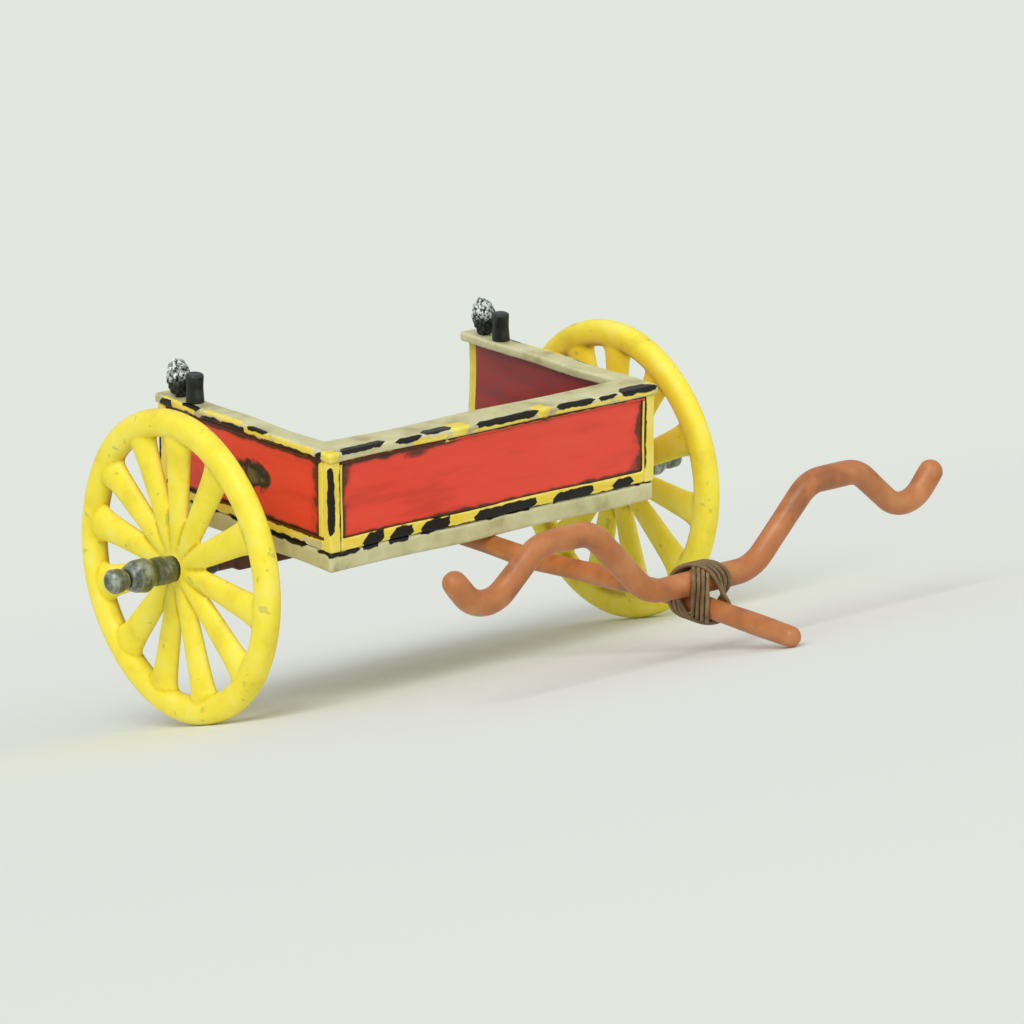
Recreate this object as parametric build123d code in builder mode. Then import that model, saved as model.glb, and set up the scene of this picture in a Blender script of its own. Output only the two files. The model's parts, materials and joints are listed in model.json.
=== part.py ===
from build123d import *
from math import asin, atan2, cos, degrees, hypot, radians, sin
import os

# Toy war chariot: a small cast white metal kit of a two wheeled, open backed
# chariot with a centre pole and a curved yoke. All sizes are in millimetres.
# The whole chariot is drawn level and stands nose down on its two wheels and
# the end of its pole, which is how it parks when nothing is hitched to it.

# Wheels
wheel_r = 6.25
rim_width = 0.95
rim_depth = 1.0
rim_bevel = 0.25
spoke_count = 12
spoke_turn = 6.0
spoke_root_width = 0.5
spoke_root_thickness = 0.42
spoke_tip_width = 1.1
spoke_tip_thickness = 0.75
spoke_bevel = 0.15
boss_r = 0.95
boss_thickness = 0.8
boss_bevel = 0.12
seat_gap = 0.02

# Hubs: each is a sleeve on the end of the axle
axle_r = 0.3
shoulder_r = 0.5
shoulder_length = 0.8
running_gap = 0.03
end_gap = 0.05
nave_r = 0.58
nave_inner_length = 1.2
nave_neck_length = 0.9
nave_drum_r = 0.66
nave_drum_length = 1.2
nave_groove = 0.1
cap_r = 0.48
cap_length = 0.8
cap_bevel = 0.2

# Box: the body that the crew stands in
box_width = 16.3
box_front = 5.85
box_rear = 5.4
slab_thickness = 0.8
slab_bevel = 0.12
wall_height = 4.0
post_size = 0.5
post_bevel = 0.1
panel_thickness = 0.45
trim_thickness = 0.1
trim_bottom = 0.5
trim_top = 0.15
trim_side = 0.1
rail_width = 1.0
front_rail_width = 1.6
rail_height = 0.4
rail_overhang = 0.1
rail_round = 0.12
deck_thickness = 0.3
deck_margin = 0.05

# Axle beam, pole and yoke
beam_size = 1.1
beam_round = 0.2
beam_overhang = 0.5
pole_r = 0.42
pole_rear = 5.0
pole_knee = 8.0
pole_shelf = 15.5
pole_rise = 0.6
pole_bend_r = 14.0
pole_reach = 23.5
yoke_forward = 18.0
yoke_r = 0.5
yoke_sides = 16
yoke_end_bevel = 0.2
yoke_flat = 2.6
yoke_foot_r = 1.8
hump_inner = 5.4
hump_outer = 7.9
hump_height = 2.9
hump_r = 1.4
dip_offset = 10.5
dip_height = 0.6
dip_r = 1.3
curl_offset = 12.0
curl_height = 2.4
lashing_width = 1.5
lashing_wall = 0.22
lashing_round = 0.3
lashing_gap = 0.02

# Plumes on the side rails
plume_back = 3.4
socket_r = 0.4
socket_height = 1.25
socket_bevel = 0.08
plume_length = 1.5
plume_r = 0.45
plume_root_r = 0.3
plume_tip_r = 0.2
plume_lean = 12.0

# The chariot tips forward until the round end of the pole is on the ground.
slab_bottom = beam_size / 2
pole_drop = slab_bottom - pole_r
tip_height = pole_drop + pole_rise
tip_forward = pole_reach - pole_r
pitch = atan2(tip_height, tip_forward)
pitch += asin((wheel_r - pole_r) / hypot(tip_forward, tip_height))

# Level planes of the chariot, all through the middle of the axle:
# level has x to the left, y to the back and z up, side has y and z,
# and ahead has x and z and faces forwards.
level = Plane(origin=(0, 0, wheel_r), x_dir=(1, 0, 0), z_dir=(0, -sin(pitch), cos(pitch)))
side = Plane(origin=level.origin, x_dir=level.y_dir, z_dir=level.x_dir)
ahead = Plane(origin=level.origin, x_dir=level.x_dir, z_dir=-level.y_dir)
upright = Axis((0, 0, 0), tuple(level.z_dir))

half_box = box_width / 2
box_length = box_front + box_rear
box_middle = (box_rear - box_front) / 2
slab_top = slab_bottom + slab_thickness
rail_top = slab_top + wall_height
rail_bottom = rail_top - rail_height
board_height = rail_bottom - slab_top
board_middle = (rail_bottom + slab_top) / 2
board_length = box_length - 2 * post_size
board_width = box_width - 2 * post_size
inner_edge = rail_width - rail_overhang
deck_width = box_width - 2 * (inner_edge + deck_margin)
deck_length = box_length - inner_edge - deck_margin
deck_middle = (box_rear - box_front + inner_edge + deck_margin) / 2

os.makedirs("parts", exist_ok=True)


# Box floor
with BuildPart() as floor_slab:
    with BuildSketch(level.offset(slab_bottom)):
        with Locations((0, box_middle)):
            Rectangle(box_width, box_length)
    extrude(amount=slab_thickness)
    chamfer(floor_slab.edges().filter_by(upright), length=slab_bevel)
floor_slab.part.label = "floor_slab"
export_step(floor_slab.part, "parts/floor_slab.step")

with BuildPart() as deck:
    with BuildSketch(level.offset(slab_top)):
        with Locations((0, deck_middle)):
            Rectangle(deck_width, deck_length)
    extrude(amount=deck_thickness)
deck.part.label = "deck"
export_step(deck.part, "parts/deck.step")


# Corner posts: name, side, distance of the post's middle behind the axle
post_inset = post_size / 2
post_table = [
    ("front_right_post", -1, post_inset - box_front),
    ("front_left_post", 1, post_inset - box_front),
    ("rear_right_post", -1, box_rear - post_inset),
    ("rear_left_post", 1, box_rear - post_inset),
]
for name, hand, back in post_table:
    with BuildPart() as post:
        with BuildSketch(level.offset(slab_top)):
            with Locations((hand * (half_box - post_inset), back)):
                Rectangle(post_size, post_size)
        extrude(amount=board_height)
        chamfer(post.edges().filter_by(upright), length=post_bevel)
    post.part.label = name
    export_step(post.part, f"parts/{name}.step")


# Wall boards: name, plane of the board's outer face, length, middle, direction of the face
board_table = [
    ("front", ahead.offset(box_front - trim_thickness), board_width, 0.0, 1),
    ("left", side.offset(half_box - trim_thickness), board_length, box_middle, 1),
    ("right", side.offset(trim_thickness - half_box), board_length, box_middle, -1),
]
for name, face, length, middle, outward in board_table:
    with BuildPart() as panel:
        with BuildSketch(face):
            with Locations((middle, board_middle)):
                Rectangle(length, board_height)
        extrude(amount=-outward * panel_thickness)
    panel.part.label = f"{name}_panel"
    export_step(panel.part, f"parts/{name}_panel.step")

    window_height = board_height - trim_bottom - trim_top
    window_middle = slab_top + trim_bottom + window_height / 2
    with BuildPart() as trim:
        with BuildSketch(face):
            with Locations((middle, board_middle)):
                Rectangle(length, board_height)
            with Locations((middle, window_middle)):
                Rectangle(length - 2 * trim_side, window_height, mode=Mode.SUBTRACT)
        extrude(amount=outward * trim_thickness)
    trim.part.label = f"{name}_trim"
    export_step(trim.part, f"parts/{name}_trim.step")


# Top rail: a U along the front and both sides, wider in front
with BuildPart() as top_rail:
    with BuildSketch(level.offset(rail_bottom)):
        with Locations((0, box_middle)):
            Rectangle(box_width + 2 * rail_overhang, box_length + 2 * rail_overhang)
        with Locations((0, box_middle + front_rail_width)):
            Rectangle(box_width - 2 * inner_edge, box_length + 2 * rail_overhang, mode=Mode.SUBTRACT)
    extrude(amount=rail_height)
    fillet(top_rail.faces().sort_by(upright)[-1].edges(), radius=rail_round)
top_rail.part.label = "top_rail"
export_step(top_rail.part, "parts/top_rail.step")


# Axle beam with its round ends, notched on top for the pole
shoulder_end = half_box + beam_overhang + shoulder_length
nave_in = shoulder_end + end_gap
boss_in = nave_in + nave_inner_length
boss_out = boss_in + boss_thickness
wheel_middle = boss_in + boss_thickness / 2
neck_end = boss_out + nave_neck_length
nave_out = neck_end + nave_drum_length
cap_in = nave_out + end_gap
axle_end = cap_in + cap_length / 2
with BuildPart() as axle_beam:
    with BuildSketch(side.offset(-half_box - beam_overhang)):
        RectangleRounded(beam_size, beam_size, beam_round)
    extrude(amount=box_width + 2 * beam_overhang)
    with BuildSketch(side.offset(-shoulder_end)):
        Circle(shoulder_r)
    extrude(amount=2 * shoulder_end)
    with BuildSketch(side.offset(-axle_end)):
        Circle(axle_r)
    extrude(amount=2 * axle_end)
    with BuildSketch(ahead.offset(-beam_size)):
        with Locations((0, pole_drop)):
            Circle(pole_r + seat_gap)
        with Locations((0, slab_bottom)):
            Rectangle(2 * (pole_r + seat_gap), 2 * pole_r)
    extrude(amount=2 * beam_size, mode=Mode.SUBTRACT)
axle_beam.part.label = "axle_beam"
export_step(axle_beam.part, "parts/axle_beam.step")


# Pole: straight under the floor, rising to the shelf that carries the yoke, with a round end
with BuildPart() as pole:
    with BuildLine(side) as pole_line:
        FilletPolyline(
            (pole_rear, pole_drop),
            (-pole_knee, pole_drop),
            (-pole_shelf, tip_height),
            (-tip_forward, tip_height),
            radius=pole_bend_r,
        )
    with BuildSketch(ahead.offset(-pole_rear)):
        with Locations((0, pole_drop)):
            Circle(pole_r)
    sweep(path=pole_line.wires()[0])
    with Locations(side.from_local_coords((-tip_forward, tip_height, 0))):
        Sphere(pole_r)
pole.part.label = "pole"
export_step(pole.part, "parts/pole.step")


# Yoke: one bar with a flat middle, a hump over each side and curled up ends
yoke_height = tip_height + pole_r + yoke_r
yoke_half = [
    (yoke_flat, 0.0),
    (hump_inner, hump_height),
    (hump_outer, hump_height),
    (dip_offset, dip_height),
    (curl_offset, curl_height),
]
half_radii = [yoke_foot_r, hump_r, hump_r, dip_r]
yoke_points = [(-x, yoke_height + z) for x, z in reversed(yoke_half)]
yoke_points += [(x, yoke_height + z) for x, z in yoke_half]
with BuildPart() as yoke:
    with BuildLine(ahead.offset(yoke_forward)) as yoke_line:
        FilletPolyline(*yoke_points, radius=half_radii[::-1] + half_radii)
    yoke_path = yoke_line.wires()[0]
    with BuildSketch(Plane(origin=yoke_path @ 0, z_dir=yoke_path % 0)):
        RegularPolygon(yoke_r, yoke_sides)
    sweep(path=yoke_path)
    yoke_ends = yoke.faces().filter_by(lambda face: len(face.edges()) == yoke_sides)
    extrude(yoke_ends, amount=yoke_end_bevel, taper=45)
yoke.part.label = "yoke"
export_step(yoke.part, "parts/yoke.step")

# Lashing: the binding that holds the yoke down on the pole
lashing_low = tip_height - pole_r - lashing_wall
lashing_high = yoke_height + yoke_r + lashing_wall
with BuildPart() as yoke_lashing:
    with BuildSketch(ahead.offset(yoke_forward - lashing_width / 2)):
        with Locations((0, (lashing_low + lashing_high) / 2)):
            RectangleRounded(lashing_width, lashing_high - lashing_low, lashing_round)
    extrude(amount=lashing_width)
    with BuildSketch(ahead.offset(yoke_forward - lashing_width)):
        with Locations((0, tip_height)):
            Circle(pole_r + lashing_gap)
    extrude(amount=2 * lashing_width, mode=Mode.SUBTRACT)
    with BuildSketch(side.offset(-lashing_width)):
        with Locations((-yoke_forward, yoke_height)):
            Circle(yoke_r + lashing_gap)
    extrude(amount=2 * lashing_width, mode=Mode.SUBTRACT)
yoke_lashing.part.label = "yoke_lashing"
export_step(yoke_lashing.part, "parts/yoke_lashing.step")


# Both sides: wheel, hub, axle cap and plume
rim_inner_r = wheel_r - rim_depth
with BuildPart() as paddle:
    # Distance from the hub, width and thickness of the spoke there
    for reach, width, thickness in (
        (0, spoke_root_width, spoke_root_thickness),
        (wheel_r, spoke_tip_width, spoke_tip_thickness),
    ):
        edge = width / 2
        face = edge - spoke_bevel
        crown = thickness / 2
        outline = [(edge, 0), (face, crown), (-face, crown), (-edge, 0), (-face, -crown), (face, -crown)]
        with BuildSketch(Plane.YZ.offset(reach)):
            Polygon(*outline, align=None)
    loft(ruled=True)
plume_inset = rail_width / 2 - rail_overhang
for name, hand in (("right", -1), ("left", 1)):
    hub = Plane(origin=side.offset(hand * wheel_middle).origin, x_dir=side.x_dir, z_dir=hand * side.z_dir)

    with BuildPart() as rim:
        with BuildSketch(hub):
            Circle(wheel_r)
            Circle(rim_inner_r, mode=Mode.SUBTRACT)
        extrude(amount=rim_width / 2, both=True)
        chamfer(rim.edges(), length=rim_bevel)
    rim.part.label = f"{name}_wheel_rim"
    export_step(rim.part, f"parts/{name}_wheel_rim.step")

    # Half sections of what turns or sits on the axle: distance outwards, radius
    turn = Plane(origin=side.origin, x_dir=hand * side.z_dir, z_dir=hand * side.x_dir)
    with BuildPart(hub) as spokes:
        with PolarLocations(0, spoke_count, start_angle=hand * spoke_turn):
            add(paddle.part)
        with BuildSketch(hub):
            Circle(rim_inner_r - seat_gap)
        extrude(amount=spoke_tip_thickness, both=True, mode=Mode.INTERSECT)
        with BuildSketch(turn):
            with BuildLine():
                Polyline(
                    (boss_in, 0),
                    (boss_in, boss_r - boss_bevel),
                    (boss_in + boss_bevel, boss_r),
                    (boss_out - boss_bevel, boss_r),
                    (boss_out, boss_r - boss_bevel),
                    (boss_out, 0),
                    close=True,
                )
            make_face()
        revolve(axis=Axis(side.origin, side.z_dir))
        with BuildSketch(hub):
            Circle(nave_r + seat_gap)
        extrude(amount=boss_thickness, both=True, mode=Mode.SUBTRACT)
    spokes.part.label = f"{name}_wheel_spokes"
    export_step(spokes.part, f"parts/{name}_wheel_spokes.step")

    with BuildPart() as nave:
        with BuildSketch(turn):
            with BuildLine():
                Polyline(
                    (nave_in, axle_r + running_gap),
                    (nave_in, nave_r),
                    (neck_end, nave_r),
                    (neck_end, nave_r - nave_groove),
                    (neck_end + nave_groove, nave_r - nave_groove),
                    (neck_end + nave_groove, nave_drum_r),
                    (nave_out, nave_drum_r),
                    (nave_out, axle_r + running_gap),
                    close=True,
                )
            make_face()
        revolve(axis=Axis(side.origin, side.z_dir))
    nave.part.label = f"{name}_nave"
    export_step(nave.part, f"parts/{name}_nave.step")

    with BuildPart() as cap:
        with BuildSketch(turn):
            with BuildLine():
                Polyline(
                    (cap_in, axle_r + seat_gap),
                    (cap_in, cap_r),
                    (cap_in + cap_length - cap_bevel, cap_r),
                    (cap_in + cap_length, cap_r - cap_bevel),
                    (cap_in + cap_length, 0),
                    (axle_end + seat_gap, 0),
                    (axle_end + seat_gap, axle_r + seat_gap),
                    close=True,
                )
            make_face()
        revolve(axis=Axis(side.origin, side.z_dir))
    cap.part.label = f"{name}_axle_cap"
    export_step(cap.part, f"parts/{name}_axle_cap.step")

    plume_x = hand * (half_box - plume_inset)
    with BuildPart() as socket:
        with BuildSketch(level.offset(rail_top)):
            with Locations((plume_x, plume_back)):
                Circle(socket_r)
        extrude(amount=socket_height)
        chamfer(socket.faces().sort_by(upright)[-1].edges(), length=socket_bevel)
    socket.part.label = f"{name}_plume_socket"
    export_step(socket.part, f"parts/{name}_plume_socket.step")

    # The plume stands behind its socket and leans back: share of its length, radius
    plume_foot = (
        plume_back + socket_r + seat_gap + plume_r,
        rail_top + seat_gap + plume_root_r * sin(radians(plume_lean)),
        0,
    )
    root = side.offset(plume_x).from_local_coords(plume_foot)
    stem = side.x_dir * sin(radians(plume_lean)) + side.y_dir * cos(radians(plume_lean))
    plume_shape = [(0.0, 0), (0.0, plume_root_r), (0.3, plume_r), (0.7, plume_r), (1.0, plume_tip_r), (1.0, 0)]
    with BuildPart() as plume:
        with BuildSketch(Plane(origin=root, x_dir=stem, z_dir=side.z_dir)):
            Polygon(*[(share * plume_length, radius) for share, radius in plume_shape], align=None)
        revolve(axis=Axis(root, stem))
    plume.part.label = f"{name}_plume"
    export_step(plume.part, f"parts/{name}_plume.step")

print("pitch degrees", round(degrees(pitch), 2))
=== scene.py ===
# %% [markdown]
# # A hand-painted toy war chariot
# The toy is a small white metal kit: two spoked wheels, an open-backed box, a pole and
# a curved yoke. It is barely three centimetres long, so its look comes from thick paint
# on soft cast edges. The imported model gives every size, and this script only dresses it.

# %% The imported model
import json
import math

import bmesh
import bpy
import numpy as np
from mathutils import Matrix, Vector


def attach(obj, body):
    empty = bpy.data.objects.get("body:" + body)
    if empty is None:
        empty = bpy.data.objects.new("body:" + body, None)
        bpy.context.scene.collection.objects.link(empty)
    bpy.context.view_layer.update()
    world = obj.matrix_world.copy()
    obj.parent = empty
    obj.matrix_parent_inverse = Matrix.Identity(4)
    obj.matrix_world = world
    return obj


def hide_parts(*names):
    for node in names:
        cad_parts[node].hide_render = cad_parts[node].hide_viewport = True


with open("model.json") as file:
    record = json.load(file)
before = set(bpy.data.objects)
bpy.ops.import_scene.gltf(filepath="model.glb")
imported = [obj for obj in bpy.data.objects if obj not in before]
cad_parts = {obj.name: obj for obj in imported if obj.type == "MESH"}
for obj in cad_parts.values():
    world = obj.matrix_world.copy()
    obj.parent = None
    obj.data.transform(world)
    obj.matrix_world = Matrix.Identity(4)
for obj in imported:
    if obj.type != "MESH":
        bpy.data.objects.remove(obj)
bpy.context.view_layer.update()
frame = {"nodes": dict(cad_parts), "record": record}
record = frame["record"]
nodes = frame["nodes"]

# %% [markdown]
# ## The chariot's own level frame
# The toy is parked nose down on the end of its pole, so nothing on it lies along the
# world's axes. One could turn every piece after making it, but a finished piece has to
# sit at the origin unturned. So each shape is worked out in level millimetres, x to the
# left, y to the back and z up from the middle of the axle, and only its points are
# carried to the world.

# %% Level millimetres
mm = 0.001
mounts = {mount["name"]: mount for mount in record["mounts"]}
up = np.array(mounts["crew_deck"]["axis"])
left = np.array([1.0, 0.0, 0.0])
back = np.cross(up, left)
axle = np.array([0.0, 0.0, record["behaviour"]["joints"][0]["pos_m"][2]])
level_axes = np.array([left, back, up])
pitch = math.atan2(back[2], back[1])


def to_world(points):
    """World metres: the axle's middle plus x times left, y times back and z times up."""
    return axle + np.asarray(points) @ level_axes * mm


def mesh_points(mesh, kind="co"):
    """The mesh's points, or their normals, as an array with a row for each."""
    flat = np.empty(len(mesh.vertices) * 3)
    mesh.vertices.foreach_get(kind, flat)
    return flat.reshape(-1, 3)


def level_box(node):
    """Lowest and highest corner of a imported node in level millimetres."""
    points = (mesh_points(nodes[node].data) - axle) @ level_axes.T / mm
    return points.min(axis=0), points.max(axis=0)


print("nose down by", round(math.degrees(pitch), 2), "degrees")

# %% [markdown]
# ## Camera
# The photograph looks down on the near front corner from the right. Its viewpoint was
# found from the two wheels and the box corners, in the level frame. The chariot is small
# and off the middle there, so from the same viewpoint the camera turns a little towards
# the chariot's middle and takes a longer lens. The perspective stays the photograph's.

# %% Camera
# The eye in level millimetres, and how far it is turned round, down and over
eye_place = (-132.33, -168.47, 63.45)
eye_turn = math.radians(-40.487)
eye_drop = math.radians(15.478)
eye_roll = math.radians(0.562)
sensor_mm = 36.0
photo_lens_mm = 68.83
photo_size = 1024
chariot_middle_px = (473.0, 545.0)
picture_zoom = 2.85

photo_aim = (
    -math.sin(eye_turn) * math.cos(eye_drop) * left
    + math.cos(eye_turn) * math.cos(eye_drop) * back
    - math.sin(eye_drop) * up
)
flat_right = math.cos(eye_turn) * left + math.sin(eye_turn) * back
flat_top = np.cross(flat_right, photo_aim)
photo_right = math.cos(eye_roll) * flat_right + math.sin(eye_roll) * flat_top
photo_top = math.cos(eye_roll) * flat_top - math.sin(eye_roll) * flat_right

px_slope = sensor_mm / photo_lens_mm / photo_size
off_right = (chariot_middle_px[0] - photo_size / 2) * px_slope
off_down = (chariot_middle_px[1] - photo_size / 2) * px_slope
aim = photo_aim + off_right * photo_right - off_down * photo_top
aim /= np.linalg.norm(aim)
view_right = photo_right - (photo_right @ aim) * aim
view_right /= np.linalg.norm(view_right)
view_top = np.cross(view_right, aim)


def place_object(name, data):
    """A new object with its data, linked to the scene."""
    made = bpy.data.objects.new(name, data)
    bpy.context.scene.collection.objects.link(made)
    return made


camera_data = bpy.data.cameras.new("camera")
camera_data.sensor_width = sensor_mm
camera_data.lens = photo_lens_mm * picture_zoom
camera_data.clip_start = 0.001
camera_data.clip_end = 10.0
camera = place_object("camera", camera_data)
camera_matrix = Matrix((view_right, view_top, -aim)).transposed().to_4x4()
camera_matrix.translation = to_world(eye_place)
camera.matrix_world = camera_matrix
bpy.context.scene.camera = camera
print("camera height", round(camera_matrix.translation.z / mm, 1), "mm")

# %% [markdown]
# ## Shader helpers
# Materials are written as nodes. Small helpers keep each one short: they add a node with
# its values, do one sum, turn the 0 to 255 colours that the eye reads into Blender's
# linear ones, and give any material its place on the toy in level millimetres.

# %% Shader helpers
def linear(red, green, blue):
    """Linear colour of a display colour: each share above 0.04 is ((c + 0.055) / 1.055) to the power 2.4."""
    shares = np.array([red, green, blue]) / 255.0
    low = shares / 12.92
    high = ((shares + 0.055) / 1.055) ** 2.4
    return (*np.where(shares <= 0.04045, low, high).tolist(), 1.0)


def add_node(tree, kind, inputs=None, **settings):
    """Adds a node, sets its settings, and sets or links each input by name or number."""
    made = tree.nodes.new(kind)
    for key, value in settings.items():
        setattr(made, key, value)
    for key, value in (inputs or {}).items():
        if isinstance(value, bpy.types.NodeSocket):
            tree.links.new(value, made.inputs[key])
        else:
            made.inputs[key].default_value = value
    return made


def math_node(tree, operation, first, second=0.0, clamp=False):
    """One sum on two numbers or sockets."""
    made = add_node(tree, "ShaderNodeMath", {0: first, 1: second}, operation=operation, use_clamp=clamp)
    return made.outputs[0]


def plus(tree, first, second, clamp=False):
    """The sum of two numbers or sockets, held between 0 and 1 if clamped."""
    return math_node(tree, "ADD", first, second, clamp)


def minus(tree, first, second, clamp=False):
    """The first less the second, held between 0 and 1 if clamped."""
    return math_node(tree, "SUBTRACT", first, second, clamp)


def times(tree, first, second, clamp=False):
    """The first times the second, held between 0 and 1 if clamped."""
    return math_node(tree, "MULTIPLY", first, second, clamp)


def smooth_step(tree, value, low, high):
    """0 below low, 1 above high and a soft S between them."""
    made = add_node(
        tree, "ShaderNodeMapRange", {"Value": value, "From Min": low, "From Max": high},
        interpolation_type="SMOOTHSTEP",
    )
    return made.outputs["Result"]


def mix_colour(tree, share, first, second):
    """The first colour where share is 0 and the second where it is 1."""
    return add_node(tree, "ShaderNodeMix", {0: share, 6: first, 7: second}, data_type="RGBA").outputs[2]


def noise(tree, place, scale, detail, roughness=0.5):
    """Soft noise from 0 to 1, with about so many waves a unit of the place."""
    return add_node(tree, "ShaderNodeTexNoise", {
        "Vector": place, "Scale": scale, "Detail": detail, "Roughness": roughness,
    }).outputs["Fac"]


def level_vector(tree, stretch=(1.0, 1.0, 1.0)):
    """Level millimetres from the object's own metres, then stretched along the level axes."""
    offset = -(level_axes @ axle) / mm
    place = add_node(tree, "ShaderNodeTexCoord").outputs["Object"]
    turned = add_node(tree, "ShaderNodeMapping", {
        "Vector": place, "Scale": (1 / mm,) * 3, "Rotation": (-pitch, 0.0, 0.0), "Location": tuple(offset),
    })
    made = add_node(
        tree, "ShaderNodeVectorMath", {0: turned.outputs[0], 1: stretch}, operation="MULTIPLY",
    )
    return made.outputs[0]


def read_mask(tree, name):
    """A number that the mesh carries at each point, such as its bare edges."""
    return add_node(tree, "ShaderNodeAttribute", attribute_name=name).outputs["Fac"]


print("half grey in linear light", round(linear(128, 128, 128)[0], 2))

# %% [markdown]
# ## Brush strokes and lining as shared groups
# Every paint on the toy was put on with the same small brush, so the strokes, a painted highlight
# in the paler colour on raised edges and painted shade in the darker colour in recesses are one
# group, used by each paint with its own colours. The mesh carries two masks for it, edge and
# recess, which are measured from the shape itself.

# %% Brushwork group
def new_group(name, inputs, outputs):
    """An empty node group with the named inputs and outputs."""
    group = bpy.data.node_groups.new(name, "ShaderNodeTree")
    for label, kind in inputs:
        group.interface.new_socket(label, in_out="INPUT", socket_type=kind)
    for label, kind in outputs:
        group.interface.new_socket(label, in_out="OUTPUT", socket_type=kind)
    return group, group.nodes.new("NodeGroupInput").outputs, group.nodes.new("NodeGroupOutput").inputs


COLOUR, NUMBER, VECTOR = "NodeSocketColor", "NodeSocketFloat", "NodeSocketVector"
brushwork, given, result = new_group(
    "brushwork",
    [("Vector", VECTOR), ("Base", COLOUR), ("Light", COLOUR), ("Dark", COLOUR),
     ("Streaks", NUMBER), ("Edges", NUMBER), ("Hollows", NUMBER)],
    [("Color", COLOUR), ("Roughness", NUMBER), ("Height", NUMBER)],
)
broad = noise(brushwork, given["Vector"], 0.9, 3.0)
fine = noise(brushwork, given["Vector"], 4.5, 4.0, 0.65)
pale_part = times(brushwork, smooth_step(brushwork, broad, 0.48, 0.72), given["Streaks"])
dark_part = times(brushwork, smooth_step(brushwork, broad, 0.5, 0.28), given["Streaks"])
broken = smooth_step(brushwork, fine, 0.3, 0.55)
# Painted highlight: the light colour on raised edges. Painted shade: the dark colour in recesses.
edge_highlight = times(brushwork, read_mask(brushwork, "edge"), given["Edges"])
edge_highlight = times(brushwork, edge_highlight, broken, clamp=True)
hollow_shade = times(brushwork, read_mask(brushwork, "recess"), given["Hollows"], clamp=True)
stroke_colour = given["Base"]
for part, paint in ((pale_part, "Light"), (dark_part, "Dark"), (edge_highlight, "Light"), (hollow_shade, "Dark")):
    stroke_colour = mix_colour(brushwork, part, stroke_colour, given[paint])
rough = add_node(
    brushwork, "ShaderNodeMapRange",
    {"Value": fine, "From Min": 0.3, "From Max": 0.7, "To Min": 0.34, "To Max": 0.56},
)
height = plus(brushwork, times(brushwork, broad, 0.5), times(brushwork, fine, 0.5))
brushwork.links.new(stroke_colour, result["Color"])
brushwork.links.new(rough.outputs["Result"], result["Roughness"])
brushwork.links.new(height, result["Height"])
print("brushwork nodes", len(brushwork.nodes))

# %% [markdown]
# Flecks are the tiny spots where another colour, or the primer, shows through. A noise
# picks a few small places, and its threshold says how many there are.

# %% Flecks group
fleck_softness = 0.04
flecks, given, result = new_group(
    "flecks",
    [("Vector", VECTOR), ("Size", NUMBER), ("Rarity", NUMBER)],
    [("Mask", NUMBER)],
)
spots = noise(flecks, given["Vector"], math_node(flecks, "DIVIDE", 1.0, given["Size"]), 2.0)
spot_full = plus(flecks, given["Rarity"], fleck_softness)
flecks.links.new(smooth_step(flecks, spots, given["Rarity"], spot_full), result["Mask"])
print("flecks nodes", len(flecks.nodes))

# %% [markdown]
# The edging of the box is yellow with freehand black dashes. A dash row is drawn on two
# numbers that the mesh carries in its strip attribute: how far along the strip a point
# lies and how far across it, in millimetres. The painter's shaky hand is a noise that
# moves both a little.

# %% Shaky line group
stroke_outside, stroke_inside = -0.015, 0.025
shaky_line, given, result = new_group(
    "shaky_line",
    [("Across", NUMBER), ("Middle", NUMBER), ("Half", NUMBER), ("Shake", NUMBER)],
    [("Mask", NUMBER)],
)
off_middle = plus(shaky_line, minus(shaky_line, given["Across"], given["Middle"]), given["Shake"])
depth = minus(shaky_line, given["Half"], math_node(shaky_line, "ABSOLUTE", off_middle))
shaky_line.links.new(smooth_step(shaky_line, depth, stroke_outside, stroke_inside), result["Mask"])
print("shaky line nodes", len(shaky_line.nodes))


# %% [markdown]
# ## Paints
# Each paint is an acrylic under a thin satin varnish. The Principled shader and its Bump
# node stay in the material, and the groups feed only colour, roughness and height.

# %% Paint maker
stroke_depth_mm = 0.02


def start_paint(name, stretch=(1.0, 1.0, 1.0)):
    """A new material, with its tree, its shader and its place in stretched level millimetres."""
    material = bpy.data.materials.new(name)
    material.use_nodes = True
    tree = material.node_tree
    print("paint", name)
    return material, tree, tree.nodes["Principled BSDF"], level_vector(tree, stretch)


def place_group(tree, group, inputs):
    """Puts a group in a material and sets or links its inputs."""
    return add_node(tree, "ShaderNodeGroup", inputs, node_tree=group)


def brush(tree, place, base, light, dark, streaks, edges, hollows):
    """One brushwork group with its colours; the three numbers say how much each effect shows."""
    return place_group(tree, brushwork, {
        "Vector": place, "Base": base, "Light": light, "Dark": dark,
        "Streaks": streaks, "Edges": edges, "Hollows": hollows,
    })


def finish_paint(tree, shader, colour, strokes, varnish=0.12, metallic=0.0, polish=0.3, shine=0.5):
    """Links colour, roughness and the bump of the strokes to the shader, and sets its gloss."""
    tree.links.new(colour, shader.inputs["Base Color"])
    tree.links.new(strokes.outputs["Roughness"], shader.inputs["Roughness"])
    bump = add_node(tree, "ShaderNodeBump", {
        "Height": strokes.outputs["Height"], "Strength": 0.6, "Distance": stroke_depth_mm * mm,
    })
    tree.links.new(bump.outputs["Normal"], shader.inputs["Normal"])
    shader.inputs["Coat Weight"].default_value = varnish
    shader.inputs["Coat Roughness"].default_value = polish
    shader.inputs["Metallic"].default_value = metallic
    shader.inputs["Specular IOR Level"].default_value = shine


def plain_paint(name, colours, shares, stretch=(1.0, 1.0, 1.0), **gloss):
    """A paint of brush strokes alone: its base, light and dark, and how much each effect shows."""
    material, tree, shader, place = start_paint(name, stretch)
    strokes = brush(tree, place, *colours, *shares)
    finish_paint(tree, shader, strokes.outputs["Color"], strokes, **gloss)
    return material


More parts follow.
